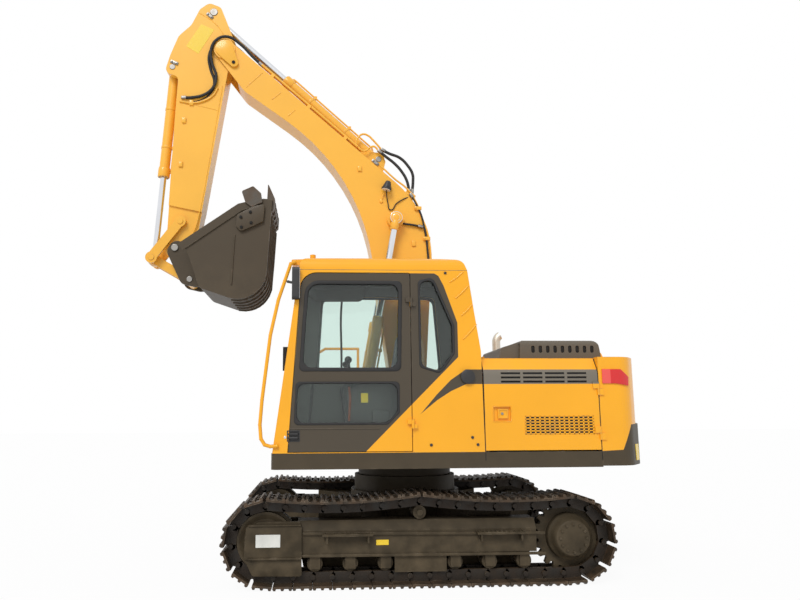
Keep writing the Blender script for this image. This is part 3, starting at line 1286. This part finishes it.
beads("boom_welds", "boom", (((1.545, 5.262), (1.722, 5.087)), ((1.340, 5.028), (1.434, 4.947)),
                             ((1.179, 4.828), (1.252, 4.759))), BOOM_FACE, 0.006)
beads("arm_welds", "arm", (((2.276, 4.877), (2.019, 4.815)),
                           ((2.264, 5.978), (2.094, 5.861), (2.005, 5.747), (1.983, 5.690))), ARM_FACE, 0.005)
rim_line = ((0.42, -0.072), (ARM_LEN - 0.30, -0.160), (ARM_LEN - 0.17, -0.142))
rims = [tube("rim", [on_arm(x, sign * ARM_FACE, z) for x, z in rim_line], 0.006) for sign in (1, -1)]
boom_wear(join("arm_rims", rims), "arm", ROUND_DEG)
arm_line = ((2.450, 4.913), (2.314, 4.894), (2.190, 4.919), (2.087, 4.988), (2.037, 5.080))
boom_wear(tube("arm_line", beside(arm_line, 0.150), LINE_R, sides=8), "arm", ROUND_DEG)
clips("arm_clips", "arm", ((2.394, 4.691), (2.413, 4.185), (2.320, 4.897)), ARM_FACE, 0.0185)
clips("boom_clips", "boom", ((0.462, 4.157), (-0.120, 3.318)), BOOM_FACE, 0.0175)
tag = panel("arm_tag", ((2.242, 5.842), (2.095, 5.777), (2.263, 5.483), (2.403, 5.571)), 0.1400, 0.002)
wear(tag, "arm", reflector)

# %% Work lamp, its wire and the side hose
lamp_at, lamp_way = at(0.165, 0.222, 3.948), Vector((0.28, 0, -1)).normalized()
clear()
bpy.ops.mesh.primitive_cone_add(vertices=32, radius1=0.052, radius2=0.026, depth=0.085,
                                location=lamp_at - lamp_way * 0.014,
                                rotation=(-lamp_way).to_track_quat("Z", "Y").to_euler())
bell = round_off(settle(bpy.context.object), 0.014, 4)
lamp = join("lamp_shade", [bell, rod("rim", lamp_at + lamp_way * 0.026, lamp_at + lamp_way * 0.044, 0.055, 32),
                           round_off(side_block("foot", (0.150, 0.182), (BOOM_FACE, 0.182), (3.900, 3.985)), 0.004)])
black_wear(lamp, "boom")
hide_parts("work_lamp")
lens = rod("lamp_lens", lamp_at + lamp_way * 0.040, lamp_at + lamp_way * 0.050, 0.047, 32)
wear(lens, "boom", blank_white)
stay = tube("lamp_stay", spots(((0.196, 0.190, 3.880), (0.212, 0.174, 3.845), (0.226, 0.172, 3.790))), 0.007,
            smooth=False)
boss = peg("lamp_boss", 0.228, 3.788, (0.164, 0.180), 0.018, 20)
boom_wear(join("lamp_bracket", [stay, boss]), "boom")
wire = ((0.176, 0.214, 3.900), (0.158, 0.186, 3.772), (0.127, 0.178, 3.690), (0.063, 0.176, 3.762),
        (-0.022, 0.174, 3.818), (-0.096, 0.150, 3.850))
black_wear(tube("lamp_wire", spots(wire), 0.006), "boom", black_rubber, ROUND_DEG)
side_hose = ((0.068, 0.186, 3.57), (0.006, 0.188, 3.539), (-0.119, 0.188, 3.519), (-0.223, 0.186, 3.498))
hose("side_hose", spots(side_hose), "boom", radius=0.012)

# %% [markdown]
# ## Wear parts
# The bucket's round back is guarded by bars and its sides by bolted cutters, the hub of each drive carries
# a ring of bolts, and the steps on the track frames have raised grips.

# %% Bucket bars and side cutters
floor_line = [(1.040, 0.292), (0.930, 0.446), (0.820, 0.600), (0.715, 0.742)]
floor_line += arc_points((0.433, 0.619), 0.304, 44, 15, 7)
bars = [tube("wear_bar", [on_bucket(x, y, z) for x, z in floor_line], 0.012, sides=6, smooth=False)
        for y in (-0.36, -0.18, 0.0, 0.18, 0.36)]
wear(join("bucket_bars", bars), "bucket", bucket_paint, 50)
CUTTER_Y, CUTTER_T = 0.448, 0.034
CUTTER = ((1.755, 3.530, 0.02), (1.592, 3.622, 0.03), (1.470, 3.650, 0.02), (1.482, 3.462, 0.02),
          (1.712, 3.352, 0.04), (1.764, 3.413, 0.03))
cutters, cutter_bolts = [], []
for sign in (1, -1):
    cutters.append(round_off(panel("cutter", CUTTER, sign * CUTTER_Y, sign * CUTTER_T), 0.004))
    rib = beside(((1.775, 3.323), (1.798, 2.800)), sign * 0.451)
    cutters.append(tube("side_rib", rib, 0.009, smooth=False))
    for x, z in ((1.713, 3.505), (1.616, 3.560), (1.705, 3.398), (1.606, 3.446)):
        cutter_bolts.append(peg("cutter_bolt", x, z, (sign * 0.478, sign * 0.494), 0.017, 6))
wear(join("bucket_cutters", cutters), "bucket", bucket_paint)
black_wear(join("bucket_cutter_bolts", cutter_bolts), "bucket", dark_hollow)

# %% Hub bolts and step grips
GRIP_STEP = 0.04
for side, sign in SIDES:
    low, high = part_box(f"sprocket_{side}")
    outer = high[1] if sign > 0 else low[1]
    ring = [peg("hub_bolt", x, z, (outer - sign * 0.006, outer + sign * 0.008), 0.012, 6)
            for x, z in arc_points((-WHEELBASE / 2, AXLE_Z), 0.120, 0, 30, 12)]
    frame_wear(join(f"hub_bolts_{side}", ring))
    grips = [side_block("grip", (x - 0.204 + k * GRIP_STEP, x - 0.196 + k * GRIP_STEP), (1.165, 1.235), (0.459, 0.466),
                        sign) for x in (0.645, -0.715) for k in range(11)]
    frame_wear(round_off(join(f"step_grips_{side}", grips), 0.002, 1))

# %% Guards and flanges of the track frames
FRAME_Y = 1.150
GUARD = ((1.530, 0.530, 0.03), (1.046, 0.525, 0.015), (1.044, 0.240, 0.01), (1.544, 0.248, 0.02))
SKIRT = ((1.540, 0.246), (1.046, 0.240), (1.044, 0.102, 0.02), (1.470, 0.108, 0.03))
WEB = ((1.075, 0.300), (-1.075, 0.300), (-1.035, 0.110), (1.035, 0.110))


def slab(name, outline, y, thick, sign):
    return round_off(panel(name, outline, sign * y, sign * thick), 0.004)


for side, sign in SIDES:
    guard = [slab("guard", GUARD, FRAME_Y, 0.034, sign), slab("skirt", SKIRT, FRAME_Y, 0.018, sign)]
    for z in (0.536, 0.258):
        lip = side_block("lip", (1.050, 1.510), (FRAME_Y, FRAME_Y + 0.046), (z - 0.010, z + 0.004), sign)
        guard.append(round_off(lip, 0.004))
    frame_wear(join(f"idler_guard_{side}", guard))
    flanges = [slab("flange", ((1.040, z0 + 0.012), (-1.117, z1 + 0.012), (-1.117, z1 - 0.012), (1.040, z0 - 0.012)),
                    FRAME_Y, 0.024, sign) for z0, z1 in ((0.458, 0.438), (0.272, 0.264))]
    frame_wear(join(f"frame_flanges_{side}", flanges))
    frame_wear(slab(f"roller_guard_{side}", WEB, 0.826, 0.014, sign))

# %% Side of the left console
copper = grained("copper_hose", linear(146, 66, 30), 0.5, 500.0, 0.1)
cover = panel("console_cover", ((0.235, 1.250, 0.03), (0.590, 1.250, 0.03), (0.655, 1.690, 0.05),
                                (0.520, 1.760, 0.05), (0.235, 1.745, 0.03)), 1.124, 0.012)
pocket = round_off(side_block("pocket", (0.260, 0.420), (1.130, 1.158), (1.330, 1.520)), 0.012, 3)
black_wear(join("console_side", [round_off(cover, 0.004), pocket]), "upper", grey_plastic)
lead = spots(((0.628, 1.146, 1.734), (0.619, 1.148, 1.616), (0.624, 1.148, 1.520), (0.629, 1.146, 1.428)))
black_wear(tube("console_lead", lead, 0.011, sides=8), "upper", copper, ROUND_DEG)
tag = round_off(side_block("console_tag", (0.455, 0.519), (1.134, 1.139), (1.592, 1.678)), 0.002, 1)
wear(tag, "upper", reflector)

# %% [markdown]
# ## Studio
# The photograph has the machine on plain white. A large pale floor takes its shadow, and the world
# is white to the camera and a soft even light to the machine, with a broad key from the camera's left.

# %% Floor and light
FLOOR_SIZE, FLOOR_WHITE, SOFT_LIGHT = 120, 0.94, 0.55


def seen(tree):
    """One for a ray from the camera, off a mirror or through glass, and else nothing."""
    rays = add(tree, "ShaderNodeLightPath").outputs
    bent = calc(tree, "MAXIMUM", rays["Is Glossy Ray"], rays["Is Transmission Ray"])
    return calc(tree, "MAXIMUM", rays["Is Camera Ray"], bent)


clear()
bpy.ops.mesh.primitive_plane_add(size=FLOOR_SIZE, location=(0, 0, -0.001))
floor = settle(bpy.context.object)
floor.name = "studio_floor"
floor_finish, tree, sockets, place = finish("studio_floor", 0.9)
sockets["Base Color"].default_value = (0.86, 0.86, 0.86, 1)
white = add(tree, "ShaderNodeEmission", {"Color": (1, 1, 1, 1), "Strength": 1.0}).outputs[0]
shader = tree.nodes["Principled BSDF"].outputs[0]
share = calc(tree, "MULTIPLY", seen(tree), FLOOR_WHITE)
lit = add(tree, "ShaderNodeMixShader", {0: share, 1: shader, 2: white}).outputs[0]
put(tree, tree.nodes["Material Output"].inputs[0], lit)
floor.data.materials.append(floor_finish)

world = bpy.data.worlds.new("studio")
bpy.context.scene.world = world
world.use_nodes = True
tree = world.node_tree
put(tree, tree.nodes["Background"].inputs["Strength"], spread(tree, seen(tree), 0.0, 1.0, SOFT_LIGHT, 1.0))
tree.nodes["Background"].inputs["Color"].default_value = (1, 1, 1, 1)

KEY_FROM, KEY_STRENGTH, KEY_DEG = Vector((3.0, 7.0, 7.0)), 1.75, 25
bpy.ops.object.light_add(type="SUN", location=KEY_FROM, rotation=KEY_FROM.to_track_quat("Z", "Y").to_euler())
bpy.context.object.data.energy = KEY_STRENGTH
bpy.context.object.data.angle = math.radians(KEY_DEG)
bpy.context.scene.view_settings.view_transform = "Standard"
